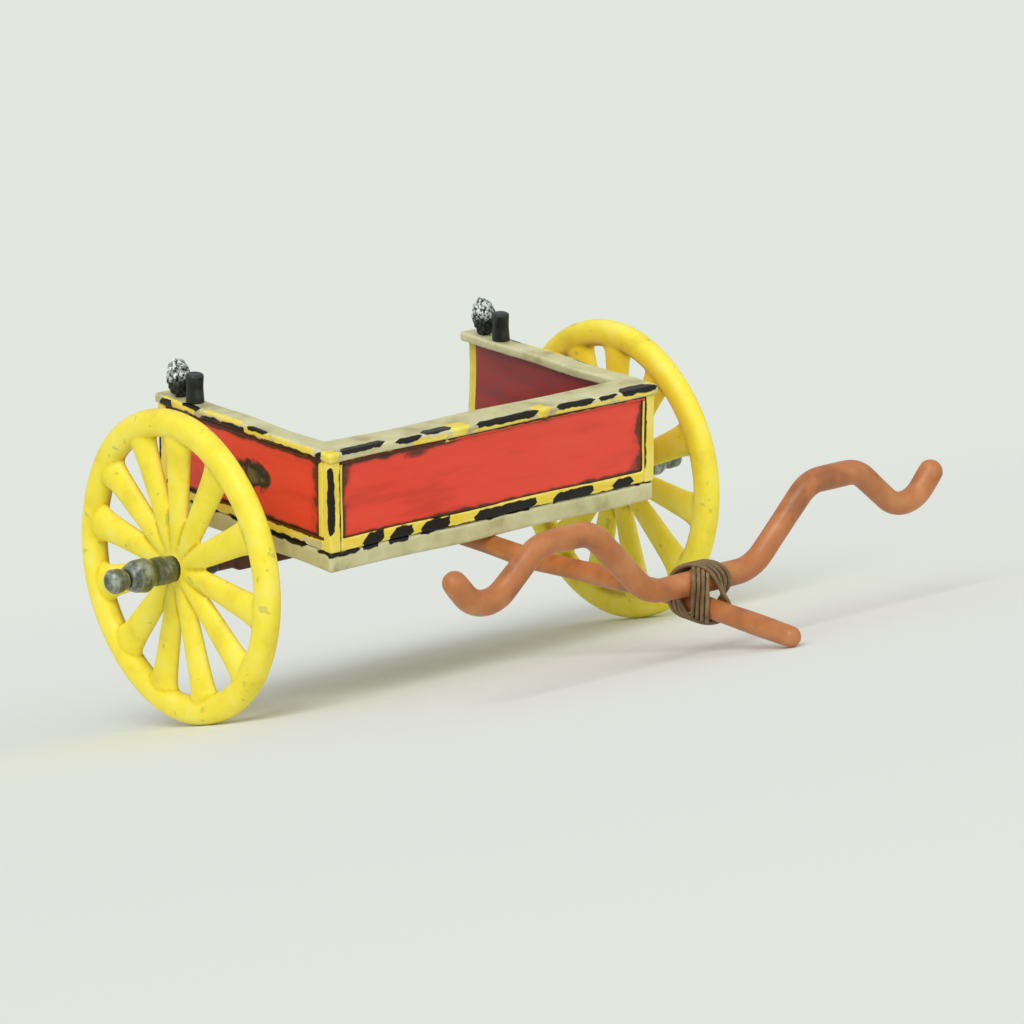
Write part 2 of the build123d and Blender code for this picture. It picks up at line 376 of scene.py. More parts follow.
def lay_over(tree, colour, mask, layers):
    """Paints laid over a colour: each comes in where the mask passes its first number and is full
    at its second."""
    for start, full, paint in layers:
        colour = mix_colour(tree, smooth_step(tree, mask, start, full), colour, paint)
    return colour


# %% Colours read from the photograph
lemon = linear(249, 229, 48)
pale_lemon = linear(253, 243, 124)
ochre = linear(216, 190, 30)
fleck_green = linear(150, 165, 95)
rim_shade_brown = linear(150, 112, 14)
signal_red = linear(236, 66, 42)
rose_red = linear(234, 84, 62)
deep_red = linear(160, 38, 24)
inner_shade_wine = linear(122, 34, 32)
line_black = linear(16, 14, 6)
line_brown = linear(88, 42, 10)
edging_yellow = linear(241, 216, 68)
edging_pale = linear(246, 236, 130)
stone = linear(202, 198, 148)
pale_stone = linear(222, 220, 178)
dull_stone = linear(158, 148, 98)
gun_grey = linear(60, 68, 54)
silver_highlight = linear(180, 192, 172)
# Black paint for lining and dark strokes, and the painted shade in recesses.
black_paint_and_shade = linear(18, 20, 16)
chestnut = linear(180, 108, 54)
pale_chestnut = linear(204, 140, 84)
dark_chestnut = linear(118, 66, 30)
olive = linear(104, 96, 48)
cord_brown = linear(96, 74, 46)
pale_cord = linear(150, 122, 80)
plank_brown = linear(92, 62, 40)
axle_brown = linear(86, 44, 14)
inner_shade_red = linear(176, 44, 36)
plume_black = linear(26, 30, 28)
plume_grey = linear(74, 82, 78)
plume_white = linear(222, 234, 226)
print("plume white in linear light", [round(share, 2) for share in plume_white[:3]])

# %% [markdown]
# The wheels are a thick lemon yellow, with a painted highlight in paler yellow on raised edges
# and painted shade in ochre in the recesses. A few greenish specks show in it, and the inner face
# of the rim on the box side is darkened with painted brown shade. The shade follows the shape,
# so it comes from a mask on the mesh and not from noise.

# %% Wheel yellow
fleck_share, rim_shade_share = 0.4, 0.55
wheel_paint, tree, shader, place = start_paint("wheel_yellow")
# Pale lemon is the painted highlight on edges, ochre the painted shade in recesses.
strokes = brush(tree, place, lemon, pale_lemon, ochre, streaks=0.42, edges=0.6, hollows=1.1)
specks = place_group(tree, flecks, {"Vector": place, "Size": 0.7, "Rarity": 0.67}).outputs["Mask"]
colour = mix_colour(tree, times(tree, specks, fleck_share), strokes.outputs["Color"], fleck_green)
# Painted shade: brown on the inner face of the rim, on the box side.
colour = mix_colour(tree, times(tree, read_mask(tree, "inside"), rim_shade_share), colour, rim_shade_brown)
finish_paint(tree, shader, colour, strokes, varnish=0.06, shine=0.3)

# %% [markdown]
# The walls are brushed lengthwise in red, so the noise is stretched along them. Dark paint
# lines them beside the edging. The wall's border mask says how near the edging is, and a
# noise shakes it before it is cut into a dark red band, a brown line and a black one. The
# inside face is a darker red, painted shade of the inside of the box.

# %% Wall red
wall_paint, tree, shader, place = start_paint("wall_red", (0.28, 0.28, 1.6))
strokes = brush(tree, place, signal_red, rose_red, deep_red, streaks=0.32, edges=0.2, hollows=0.5)
shake = minus(tree, noise(tree, level_vector(tree), 1.6, 3.0), 0.5)
inner = read_mask(tree, "inner")
border = plus(tree, read_mask(tree, "border"), times(tree, inner, 5.0))


def shifted(value, amount):
    """The value plus the shaky hand's noise times the amount."""
    return plus(tree, value, times(tree, shake, amount))


def shaken(value, amount):
    """The value times one plus the shaky hand's noise times the amount."""
    return times(tree, value, plus(tree, times(tree, shake, amount), 1.0))


dark_band = times(tree, smooth_step(tree, shifted(border, 0.4), 0.24, -0.05), 0.7)
colour = mix_colour(tree, dark_band, strokes.outputs["Color"], deep_red)
smudge = shaken(read_mask(tree, "smudge"), 3.5)
colour = lay_over(tree, colour, smudge, [(0.2, 0.42, line_black), (0.55, 0.85, olive)])
shade = shaken(read_mask(tree, "shade"), 2.0)
colour = lay_over(tree, colour, shade, [(0.1, 0.5, deep_red), (0.5, 0.75, line_brown)])
# Painted shade: the inside face is a darker red than the outside.
inner_light = smooth_step(tree, strokes.outputs["Height"], 0.2, 0.8)
colour = mix_colour(tree, inner, colour, mix_colour(tree, inner_light, inner_shade_wine, inner_shade_red))
lines = [(0.13, 0.05, line_brown), (0.02, -0.03, line_black)]
colour = lay_over(tree, colour, shifted(border, 0.3), lines)
finish_paint(tree, shader, colour, strokes)

# %% [markdown]
# Pole, yoke, axle, deck and cord are plain brushed paints. They differ only in their three
# colours, in how much of each effect shows and in how far the strokes are drawn out.

# %% Browns
# The dark colour of each of these paints is also its painted shade in the recesses.
bar_paint = plain_paint("chestnut_brown", (chestnut, pale_chestnut, dark_chestnut), (0.55, 0.3, 0.8))
axle_paint = plain_paint("axle_brown", (axle_brown, dark_chestnut, black_paint_and_shade), (0.5, 0.4, 0.9), shine=0.3)
deck_paint = plain_paint(
    "deck_boards", (plank_brown, dull_stone, black_paint_and_shade), (0.5, 0.3, 1.0), (0.6, 0.3, 1.0), varnish=0.05)
cord_paint = plain_paint(
    "binding_cord", (cord_brown, pale_cord, black_paint_and_shade), (0.6, 0.6, 1.0), (3.0, 3.0, 3.0), varnish=0.0)

# %% [markdown]
# The hubs are dark metallic paint with painted highlights of silver in streaks and on raised
# edges, and painted shade in black in the recesses, under a glossy varnish. The strokes are small
# there, so the noise is finer, and the part inside the wheel is black.

# %% Gun metal
metal_paint, tree, shader, place = start_paint("gun_metal", (2.6, -2.0, 2.0))
# Painted highlight: silver streaks and edges. Painted shade: black in recesses.
strokes = brush(tree, place, gun_grey, silver_highlight, black_paint_and_shade, streaks=0.65, edges=0.5, hollows=1.0)
colour = mix_colour(tree, read_mask(tree, "lining"), strokes.outputs["Color"], black_paint_and_shade)
finish_paint(tree, shader, colour, strokes, varnish=0.8, metallic=0.3, polish=0.12)

# %% [markdown]
# The plumes are black with white dabs on the curls. The mesh says which curls are white,
# and the white leaves out the dips between them and breaks up a little, as a dry brush does.

# %% Plume black and white
plume_paint, tree, shader, place = start_paint("plume_strands", (2.0, 2.0, 2.0))
strokes = brush(tree, place, plume_black, plume_grey, black_paint_and_shade, streaks=0.4, edges=0.25, hollows=0.8)
raised_part = minus(tree, 1.0, read_mask(tree, "recess"), clamp=True)
white_part = times(tree, read_mask(tree, "white"), raised_part)
white_part = times(tree, white_part, smooth_step(tree, noise(tree, place, 3.2, 3.0), 0.4, 0.52))
colour = mix_colour(tree, white_part, strokes.outputs["Color"], plume_white)
finish_paint(tree, shader, colour, strokes, varnish=0.1, shine=0.3)


# %% [markdown]
# ## Edging paint
# The edging of the box was painted freehand in strokes, one colour over another. They were
# measured on the photograph in millimetres from the near front corner. A table holds one
# stroke a row: where it starts and ends along the edging, and its lower and upper side
# across it. A colour ramp carries such a table into the shader, with the middle of the
# stroke in red and half its width in green.

# %% Edging maker
stroke_taper = 0.18
ramp_margin = 0.5
shake_reach, shake_along = 0.22, 1.8


def stroke_ramp(tree, along, base, strokes):
    """Middle above the base and half width of the stroke at a place along the edging. A stroke opens
    and closes over its taper, and between the strokes the values run in straight lines."""
    first, last = strokes[0][0] - ramp_margin, strokes[-1][1] + ramp_margin
    rows = []
    for start, end, low, high in strokes:
        taper = min(stroke_taper, (end - start) / 3)
        middle, half = (low + high) / 2 - base, (high - low) / 2
        rows += [(start, middle, 0.0), (start + taper, middle, half),
                 (end - taper, middle, half), (end, middle, 0.0)]
    share = add_node(
        tree, "ShaderNodeMapRange", {"Value": along, "From Min": first, "From Max": last},
    ).outputs["Result"]
    ramp = add_node(tree, "ShaderNodeValToRGB", {"Fac": share})
    stops = ramp.color_ramp.elements
    for number, (distance, middle, half) in enumerate(rows):
        position = (distance - first) / (last - first)
        stop = stops[number] if number < 2 else stops.new(position)
        stop.position = position
        stop.color = (middle, half, 0.0, 1.0)
    return add_node(tree, "ShaderNodeSeparateColor", {"Color": ramp.outputs["Color"]}).outputs


def edging_paint(name, ground, layers):
    """Strokes along the mesh's strip attribute, which holds the millimetres along the edging and up
    from the slab. A layer is its colour, the height its table counts from, how much its strokes lean
    as they rise, and the table. The layers go over the ground one after the other."""
    material, tree, shader, place = start_paint(name)
    strip = add_node(tree, "ShaderNodeAttribute", attribute_name="strip").outputs["Vector"]
    parts = add_node(tree, "ShaderNodeSeparateXYZ", {"Vector": strip})
    shift = times(tree, minus(tree, noise(tree, place, 2.2, 2.0), 0.5), shake_reach)
    yellow = brush(tree, place, edging_yellow, edging_pale, ochre, streaks=0.6, edges=0.5, hollows=0.4)
    tan = brush(tree, place, stone, pale_stone, dull_stone, streaks=0.7, edges=0.5, hollows=0.6)
    paints = {"yellow": yellow.outputs["Color"], "stone": tan.outputs["Color"], "black": line_black,
              "brown": line_brown, "red": signal_red}
    colour = paints[ground]
    for paint, base, lean, strokes in layers:
        across = minus(tree, parts.outputs["Y"], base)
        moved = plus(tree, parts.outputs["X"], times(tree, shift, shake_along))
        along = minus(tree, moved, times(tree, across, lean))
        stroke = stroke_ramp(tree, along, base, strokes)
        mask = place_group(tree, shaky_line, {
            "Across": across, "Middle": stroke["Red"], "Half": stroke["Green"], "Shake": shift,
        }).outputs["Mask"]
        colour = mix_colour(tree, mask, colour, paints[paint])
    finish_paint(tree, shader, colour, yellow if ground == "yellow" else tan, varnish=0.08, shine=0.3)
    return material


# %% [markdown]
# ## Surfaces worked out on a grid
# Every new piece starts as a closed surface of two parameters, worked out as whole
# arrays: a rounded block, a turned shape or a tube along a path. Blocks that were cast as
# one are fused by a voxel remesh and relaxed, which gives the soft inner corners that
# thick paint leaves. A piece is welded, pointed outwards and only then carried from
# level millimetres to the world.

# %% Grid helpers
def grid_quads(rows, columns, wrap=False):
    """Corner numbers of the quads between the points of a grid stored row by row."""
    ends = columns if wrap else columns - 1
    row, column = np.meshgrid(np.arange(rows - 1), np.arange(ends), indexing="ij")
    after = (column + 1) % columns
    corners = [row * columns + column, row * columns + after,
               (row + 1) * columns + after, (row + 1) * columns + column]
    return np.stack([corner.ravel() for corner in corners], axis=1)


def circle(steps):
    """Angles at even steps round a full circle."""
    return np.linspace(0, 2 * math.pi, steps, endpoint=False)


def ring_grid(x, y, z):
    """A surface of closed rings, a row each, from coordinates that are spread to one shape."""
    points = np.stack(np.broadcast_arrays(x, y, z), axis=-1)
    return points.reshape(-1, 3), grid_quads(*points.shape[:2], wrap=True)


def rings_along(path, radius, first, second, sides):
    """Circles of the radius at each place of a path, in the plane of two unit directions there."""
    angle = circle(sides)[None, :, None]
    ring = first[:, None, :] * np.cos(angle) + second[:, None, :] * np.sin(angle)
    points = path[:, None, :] + radius[:, None, None] * ring
    return points.reshape(-1, 3), grid_quads(len(path), sides, wrap=True)


def join_grids(grids):
    """Stacks grids, the quads of each raised by the number of points before them."""
    points, quads, before = [], [], 0
    for grid_points, grid_corners in grids:
        points.append(grid_points.reshape(-1, 3))
        quads.append(grid_corners + before)
        before += len(points[-1])
    return np.concatenate(points), np.concatenate(quads)


def soft_box(low, high, radius, step=0.6, arc=4):
    """A rounded block: each point of the block's skin is drawn to the core block, then moved out by
    the radius. Near an edge the skin's samples are the radius times the tangents of equal angles."""
    low, high = np.asarray(low, float), np.asarray(high, float)
    bend = radius * np.tan(np.linspace(0.0, math.pi / 4, arc + 1))
    lines = []
    for start, end in zip(low, high):
        cells = max(1, int(round((end - start - 2 * radius) / step)))
        flat = np.linspace(start + radius, end - radius, cells + 1)
        lines.append(np.concatenate([start + radius - bend[:0:-1], flat, end - radius + bend[1:]]))
    grids = []
    for axis in range(3):
        first, second = (axis + 1) % 3, (axis + 2) % 3
        for side, level in ((-1, low[axis]), (1, high[axis])):
            across, along = np.meshgrid(lines[first], lines[second], indexing="ij")
            skin = np.empty(across.shape + (3,))
            skin[..., first], skin[..., second], skin[..., axis] = across, along, level
            core = np.clip(skin, low + radius, high - radius)
            out = skin - core
            length = np.linalg.norm(out, axis=-1, keepdims=True)
            grids.append((core + radius * out / length, grid_quads(*across.shape)))
    return join_grids(grids)


def turned(profile, steps=64):
    """A turned shape about the x axis: each profile point (along, radius) goes round a full circle."""
    along, radius = np.asarray(profile, float).T[:, :, None]
    angle = circle(steps)
    return ring_grid(along, radius * np.cos(angle), radius * np.sin(angle))


def rounded_path(points, radii, spacing=0.15):
    """Straight runs joined by tangent arcs: at each inner corner the arc starts radius times the
    tangent of half the turn before it. Works in the plane of its two coordinates."""
    points = np.asarray(points, float)
    pieces = [points[:1]]
    for before, corner, after, radius in zip(points[:-2], points[1:-1], points[2:], radii):
        into = (corner - before) / np.linalg.norm(corner - before)
        out = (after - corner) / np.linalg.norm(after - corner)
        turn = math.atan2(into[0] * out[1] - into[1] * out[0], into @ out)
        reach = radius * math.tan(abs(turn) / 2)
        side = np.array([-into[1], into[0]]) * math.copysign(1.0, turn)
        centre = corner - into * reach + side * radius
        steps = max(2, int(abs(turn) * radius / spacing) + 1)
        angle = np.linspace(0.0, abs(turn), steps + 1)[:, None]
        pieces.append(centre - side * radius * np.cos(angle) + into * radius * np.sin(angle))
    pieces.append(points[-1:])
    path = np.concatenate(pieces)
    return resample(path, spacing)


def resample(path, spacing):
    """Points at an even spacing along a path of straight pieces."""
    steps = np.linalg.norm(np.diff(path, axis=0), axis=1)
    distance = np.concatenate([[0.0], np.cumsum(steps)])
    even = np.linspace(0.0, distance[-1], max(2, int(distance[-1] / spacing) + 1))
    return np.stack([np.interp(even, distance, line) for line in path.T], axis=1)


def tube(path, radius, across, sides=24, end_rings=6):
    """A tube with round ends: at each place of the path a circle of the radius there, in the plane of
    the fixed unit direction across and the direction square to it and to the path. At the ends the
    radius shrinks as the square root of radius squared minus the distance past the end squared."""
    tangent = np.gradient(path, axis=0)
    tangent /= np.linalg.norm(tangent, axis=1, keepdims=True)
    bend = np.sin(np.linspace(math.pi / 2, 0.0, end_rings + 1))[:-1]
    shrink = np.sqrt(1.0 - bend ** 2)
    first = path[0] + tangent[0] * radius[0] * (1 - bend[:, None])
    last = path[-1] - tangent[-1] * radius[-1] * (1 - bend[::-1, None])
    past_first = np.linalg.norm(path - path[0], axis=1) > radius[0]
    before_last = np.linalg.norm(path - path[-1], axis=1) > radius[-1]
    keep = past_first & before_last
    ends = (np.repeat(tangent[:1], end_rings, axis=0), np.repeat(tangent[-1:], end_rings, axis=0))
    path = np.concatenate([first, path[keep], last])
    tangent = np.concatenate([ends[0], tangent[keep], ends[1]])
    radius = np.concatenate([radius[0] * shrink, radius[keep], radius[-1] * shrink[::-1]])
    side = np.broadcast_to(across, path.shape)
    return rings_along(path, radius, side, np.cross(tangent, side), sides)


casting_wave = 0.022


def hand_made(points, depth):
    """The slight unevenness of a small casting: every point is moved by sines of its level place,
    the same for all pieces, so that pieces that touch stay together."""
    x, y, z = np.asarray(points, float).T
    shift = np.stack([
        np.sin(0.9 * y + 1.7 * z + 0.4) * np.sin(0.5 * x + 1.1),
        np.sin(1.1 * x + 0.8 * z + 2.0) * np.cos(0.7 * y),
        np.sin(0.8 * x + 1.3 * y + 0.9),
    ], axis=1)
    return points + depth * shift

print("quads in two rings of eight", len(grid_quads(2, 8, wrap=True)))

# %% [markdown]
# Three things happen to every piece. The mesh gets an edge and a recess mask, measured from
# its own curvature, for the brushwork. Its points are carried to the world. Then it gets its
# material, it is set on the body it rides on, and the imported nodes it stands for are hidden.

# %% Mesh helpers
bodies = {node: body for body, names in record["behaviour"]["bodies"].items() for node in names}
weld_mm = 0.001


def mesh_object(name, points, quads):
    """A mesh object in level millimetres, welded where points meet and pointing outwards."""
    mesh = bpy.data.meshes.new(name)
    mesh.from_pydata(points, [], quads.tolist())
    shape = bmesh.new()
    shape.from_mesh(mesh)
    bmesh.ops.remove_doubles(shape, verts=shape.verts, dist=weld_mm)
    bmesh.ops.recalc_face_normals(shape, faces=shape.faces)
    shape.to_mesh(mesh)
    shape.free()
    return place_object(name, mesh)


def fuse(piece, voxel, relax):
    """Fuses overlapping blocks by a voxel remesh and relaxes the result."""
    remesh = piece.modifiers.new("fuse", "REMESH")
    remesh.mode = "VOXEL"
    remesh.voxel_size = voxel
    soften = piece.modifiers.new("relax", "SMOOTH")
    soften.factor = 0.5
    soften.iterations = relax
    shown = piece.evaluated_get(bpy.context.evaluated_depsgraph_get())
    fused = bpy.data.meshes.new_from_object(shown)
    piece.modifiers.clear()
    piece.data = fused


def set_mask(mesh, name, values, kind="FLOAT"):
    """Stores a number or a vector for each point under a name."""
    layer = mesh.attributes.new(name, kind, "POINT")
    layer.data.foreach_set("value" if kind == "FLOAT" else "vector", np.asarray(values, float).ravel())


def rise(values, start, width):
    """0 up to start, then a straight rise to 1 over the width."""
    return np.clip((values - start) / width, 0, 1)


def shape_masks(mesh, full, rounds=3):
    """Edge and recess: the mean over a point's neighbours of twice its height over them along its
    normal, divided by the distance squared, is the mean curvature. It is averaged a few rounds
    and counts as full at the given curvature, outwards for edge and inwards for recess."""
    points, normals = mesh_points(mesh), mesh_points(mesh, "normal")
    pairs = np.empty(len(mesh.edges) * 2, dtype=np.int32)
    mesh.edges.foreach_get("vertices", pairs)
    start, end = np.concatenate([pairs.reshape(-1, 2), pairs.reshape(-1, 2)[:, ::-1]]).T
    step = points[start] - points[end]
    bend = 2 * (step * normals[start]).sum(axis=1) / np.maximum((step ** 2).sum(axis=1), 1e-9)
    count = np.maximum(np.bincount(start, minlength=len(points)), 1)
    curve = np.bincount(start, bend, len(points)) / count
    for _ in range(rounds):
        curve = 0.5 * curve + 0.5 * np.bincount(start, curve[end], len(points)) / count
    set_mask(mesh, "edge", rise(curve, 0.0, full))
    set_mask(mesh, "recess", rise(-curve, 0.0, full))


def finish_piece(piece, material, replaced, full, masks=None):
    """Measures the masks in level millimetres, carries the mesh to the world, gives it its material, sets it
    on its body and hides the imported nodes it replaces.
    """
    mesh = piece.data
    points, normals = mesh_points(mesh), mesh_points(mesh, "normal")
    shape_masks(mesh, full)
    for name, formula in (masks or {}).items():
        values = formula(points, normals)
        set_mask(mesh, name, values, "FLOAT" if values.ndim == 1 else "FLOAT_VECTOR")
    mesh.vertices.foreach_set("co", to_world(points).ravel())
    mesh.update()
    mesh.shade_smooth()
    mesh.materials.clear()
    mesh.materials.append(material)
    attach(piece, bodies[replaced[0]])
    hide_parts(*replaced)
    print(piece.name, len(mesh.polygons), "faces, replaces", ", ".join(replaced))


def make_piece(name, grids, material, replaced, full=4.0, masks=None, voxel=0.0, relax=0, wave=0.0):
    """Joins grids to one piece, makes it uneven by the wave, fuses it if a voxel size is given and
    finishes it. Full is the curvature per millimetre at which an edge or a hollow counts as full."""
    points, quads = join_grids(grids)
    if wave:
        points = hand_made(points, wave)
    piece = mesh_object(name, points, quads)
    if voxel:
        fuse(piece, voxel, relax)
    finish_piece(piece, material, replaced, full, masks)


# %% [markdown]
# ## Wheels
# Each wheel is one casting: a thick round-edged rim, twelve spokes that widen like
# paddles towards it, and a small boss. Booleans would leave sharp inner corners. Here the
# rim, each spoke and the boss are closed surfaces that overlap, and fusing and relaxing
# them gives the webbed corners of the cast wheel. The spokes of the toy are bent a little
# out of their even places, so a short list gives each one's turn from the back, in degrees.

# %% Wheel shapes
rim_low, rim_high = level_box("right_wheel_rim")
wheel_r = rim_high[1]
rim_width = rim_high[0] - rim_low[0]
wheel_middle = -(rim_low[0] + rim_high[0]) / 2
rim_depth = 1.12
rim_roundness = 2.25
spoke_root_width, spoke_root_thickness = 0.7, 0.58
spoke_tip_width, spoke_tip_thickness = 1.34, 0.8
spoke_growth, spoke_roundness = 0.7, 1.85
spoke_flare, flare_full, flare_reach = 0.5, 0.35, 0.3
spoke_start = 0.35
boss_r = 1.0
boss_half = 0.4
spoke_turns = (7, 34, 64, 91, 121, 153, 187, 218, 252, 282, 311, 340)


def superellipse(angle, half_x, half_y, power):
    """A rounded rectangle: the cosine and sine, each raised to 2 over the power with its sign kept."""
    cosine, sine = np.cos(angle), np.sin(angle)
    return (half_x * np.sign(cosine) * np.abs(cosine) ** (2 / power),
            half_y * np.sign(sine) * np.abs(sine) ** (2 / power))


def rim_surface(rings=220, sides=40):
    """A superellipse section carried round the wheel's circle."""
    along, outwards = superellipse(circle(sides), rim_width / 2, rim_depth / 2, rim_roundness)
    angle = np.linspace(0, 2 * math.pi, rings + 1)[:, None]
    radius = wheel_r - rim_depth / 2 + outwards
    wave = 0.03 * np.sin(2 * angle + 0.6) + 0.02 * np.sin(5 * angle)
    return ring_grid(along + wave, radius * np.cos(angle), radius * np.sin(angle))


def spoke_surface(direction, steps=44, sides=28):
    """A spoke: a rounded section whose width grows from hub to rim, fastest at first, plus a flare
    that falls off as e to the minus distance from its full place over the flare's reach."""
    spoke_end = wheel_r - rim_depth * 0.6
    share = np.linspace(0, 1, steps)[:, None]
    reach = spoke_start + share * (spoke_end - spoke_start)
    flare = spoke_flare * np.exp(-(spoke_end - flare_full - reach).clip(0) / flare_reach)
    width = spoke_root_width + (spoke_tip_width - spoke_root_width) * share ** spoke_growth + flare
    thickness = spoke_root_thickness + (spoke_tip_thickness - spoke_root_thickness) * share
    along, sideways = superellipse(circle(sides), thickness / 2, width / 2, spoke_roundness)
    closing = np.concatenate([[0.0], np.ones(steps - 2), [0.0]])[:, None]
    along, sideways = along * closing, sideways * closing
    cosine, sine = math.cos(direction), math.sin(direction)
    return ring_grid(along, reach * cosine - sideways * sine, reach * sine + sideways * cosine)


def boss_profile():
    """Half an ellipse from one side of the boss to the other."""
    angle = np.linspace(0, math.pi, 15)
    along, radius = superellipse(angle, boss_half, boss_r, 2.0)
    return np.stack([along[::-1], np.abs(radius[::-1])], axis=1)


def inside_rim(points, normals):
    """1 on the box side of the rim's inner face, where the normal looks straight at the axle."""
    radius = np.linalg.norm(points[:, 1:], axis=1)
    box_side = rise(wheel_middle - np.abs(points[:, 0]), 0.0, 0.2)
    towards = -(points[:, 1:] * normals[:, 1:]).sum(axis=1) / radius
    near = rise(radius, wheel_r - rim_depth - 0.3, 0.2)
    return rise(towards, 0.4, 0.35) * near * box_side


print("wheel", round(2 * wheel_r, 2), "mm across, rim", round(rim_width, 2), "mm wide")

# %% [markdown]
# Both wheels are the same casting in two places. Their shapes are worked out about the
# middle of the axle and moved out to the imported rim's own middle.

# %% Two cast wheels
hands = {"right": -1, "left": 1}
for name in hands:
    rim_start, rim_end = level_box(f"{name}_wheel_rim")
    grids = [rim_surface(), turned(boss_profile(), 48)]
    for turn in spoke_turns:
        grids.append(spoke_surface(math.radians(turn)))
    points, quads = join_grids(grids)
    points[:, 0] += (rim_start[0] + rim_end[0]) / 2
    replaced = [f"{name}_wheel_rim", f"{name}_wheel_spokes"]
    make_piece(f"{name}_cast_wheel", [(points, quads)], wheel_paint, replaced, 3.2,
               {"inside": inside_rim}, voxel=0.06, relax=9)

# %% [markdown]
# ## Hub sleeves and end caps
# The hub is a turned sleeve with a waist, and a round knob closes it outside. Both are
# turned shapes from a short profile whose corners are rounded as arcs.

# %% Hubs
hub_foot, hub_waist = 11.5, 12.45
bore_r, sleeve_r, drum_r, waist_r = 0.58, 0.57, 0.67, 0.5


def dented(points, depth=0.035):
    """Soft dents: the distance from the x axis swells and sinks by waves round it and along it."""
    angle = np.arctan2(points[:, 2], points[:, 1])
    waves = np.sin(2 * angle + 3.1 * points[:, 0]) + 0.6 * np.sin(3 * angle - 5.0 * points[:, 0])
    swell = 1 + depth * waves
    return points * np.stack([np.ones_like(swell), swell, swell], axis=1)


def hub_ends(node):
    """How far a packed hub or cap starts and ends from the middle of the axle, and its radius."""
    low, high = level_box(node)
    inner, outer = sorted((abs(low[0]), abs(high[0])))
    return inner, outer, (high[1] - low[1]) / 2


def hub_piece(name, node, hand, corners, rounding, masks=None):
    """Turns corners, each a distance out along the axle and a radius, rounded as arcs."""
    profile = [(hand * out, radius) for out, radius in corners]
    smooth = rounded_path(profile, [rounding] * (len(profile) - 2), spacing=0.03)
    points, quads = turned(smooth, 72)
    make_piece(name, [(dented(points), quads)], metal_paint, [node], 5.0, masks)


def hub_lining(points, normals):
    """1 where the sleeve is black: inside the wheel and round its foot."""
    return rise(hub_foot + 0.08 - np.abs(points[:, 0]), 0.0, 0.06)


for name, hand in hands.items():
    inner, outer, _ = hub_ends(f"{name}_nave")
    sleeve = [
        (inner, 0), (inner, bore_r), (hub_foot - 0.25, bore_r), (hub_foot, sleeve_r - 0.03),
        (hub_foot + 0.35, sleeve_r), (hub_waist - 0.2, sleeve_r - 0.02), (hub_waist, waist_r),
        (hub_waist + 0.3, drum_r), (outer - 0.35, drum_r - 0.02), (outer, drum_r * 0.7), (outer, 0),
    ]
    hub_piece(f"{name}_hub_sleeve", f"{name}_nave", hand, sleeve, 0.17, {"lining": hub_lining})
    inner, outer, knob_r = hub_ends(f"{name}_axle_cap")
    knob = [(inner, 0), (inner, knob_r * 0.84), (inner + 0.3, knob_r), (outer - 0.16, knob_r),
            (outer, knob_r * 0.72), (outer, 0)]
    hub_piece(f"{name}_hub_knob", f"{name}_axle_cap", hand, knob, 0.14)

# %% [markdown]
# ## The box
# Floor slab, walls, raised edging, posts and rail were cast apart and glued, so they stay
# apart here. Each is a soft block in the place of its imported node. The hand-made shift
# depends only on the place, so the pieces still meet.

# %% Deck
def block_piece(name, node, material, radius, step, masks):
    """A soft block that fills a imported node's level box."""
    block = soft_box(*level_box(node), radius, step)
    make_piece(name, [block], material, [node], masks=masks, wave=casting_wave)


slab_low, slab_high = level_box("floor_slab")
rail_low, rail_high = level_box("top_rail")
half_width, rail_overhang = slab_high[0], rail_high[0] - slab_high[0]

deck_low, deck_high = level_box("deck")
board_count, board_gap = 7, 0.04
board_width = (deck_high[0] - deck_low[0]) / board_count
boards = []
for number in range(board_count):
    start = deck_low[0] + number * board_width
    low = (start + board_gap / 2, *deck_low[1:])
    high = (start + board_width - board_gap / 2, *deck_high[1:])
    boards.append(soft_box(low, high, 0.06, 0.8, 3))
make_piece("deck_planks", boards, deck_paint, ["deck"], 6.0, wave=casting_wave)

# %% [markdown]
# The red walls are lined with dark brown next to the edging, where the painter went round
# them freehand. The wall carries a border mask, its distance in millimetres from the
# edging's inner edge, and an inner mask that turns the inside face a darker red, painted
# shade of the inside of the box. Sideways the distance is divided, so the line is widest
# beside the posts.

# %% Red walls
frame_below, frame_above = 0.5, 0.15
frame_side = {"front": 0.1, "right": 0.3, "left": 0.3}
side_share = {"front": 2.5, "right": 3.0, "left": 3.0}
near_corner = -half_width
shade_spots = ((near_corner + 4.3, 4.75, 0.9, 0.42), (-near_corner - 0.65, 2.0, 0.35, 0.75))
smudge_place, smudge_reach = (-0.7, 3.3), (1.55, 0.9)


def border_of(name, axis):
    """The mask's formula for one wall, which runs along x (0) or y (1)."""
    low, high = level_box(f"{name}_trim")

    def border(points, normals):
        """Distance from the nearest of the four inner edges of the wall's edging."""
        along, z = points[:, axis], points[:, 2]
        fade = 0.12 * rise(along, low[0] + 5.5, 1.0) * (name == "front")
        near_end = (along - low[axis] - frame_side[name]) / side_share[name]
        far_end = (high[axis] - frame_side[name] - along) / side_share[name]
        foot, top = z - low[2] - frame_below, high[2] - frame_above - z + fade
        return np.min([near_end, far_end, foot, top], axis=0)

    return border


def front_shade(points, normals):
    """Dark places of the front wall: 1 less the distance from each middle, counted in its reaches."""
    masks = [1 - np.hypot((points[:, 0] - x) / width, (points[:, 2] - z) / height)
             for x, z, width, height in shade_spots]
    return np.clip(np.max(masks, axis=0), 0, 1)


def side_smudge(points, normals):
    """1 less the distance from the smudge's middle, counted in its own two reaches."""
    off = (points[:, 1:] - smudge_place) / smudge_reach
    return np.clip(1 - np.linalg.norm(off, axis=1), 0, 1)


def inner_of(axis, outside):
    """The formula of the inner mask: 1 from a little way in behind the outer face."""
    return lambda points, normals: rise(np.abs(points[:, axis] - outside), 0.2, 0.1)


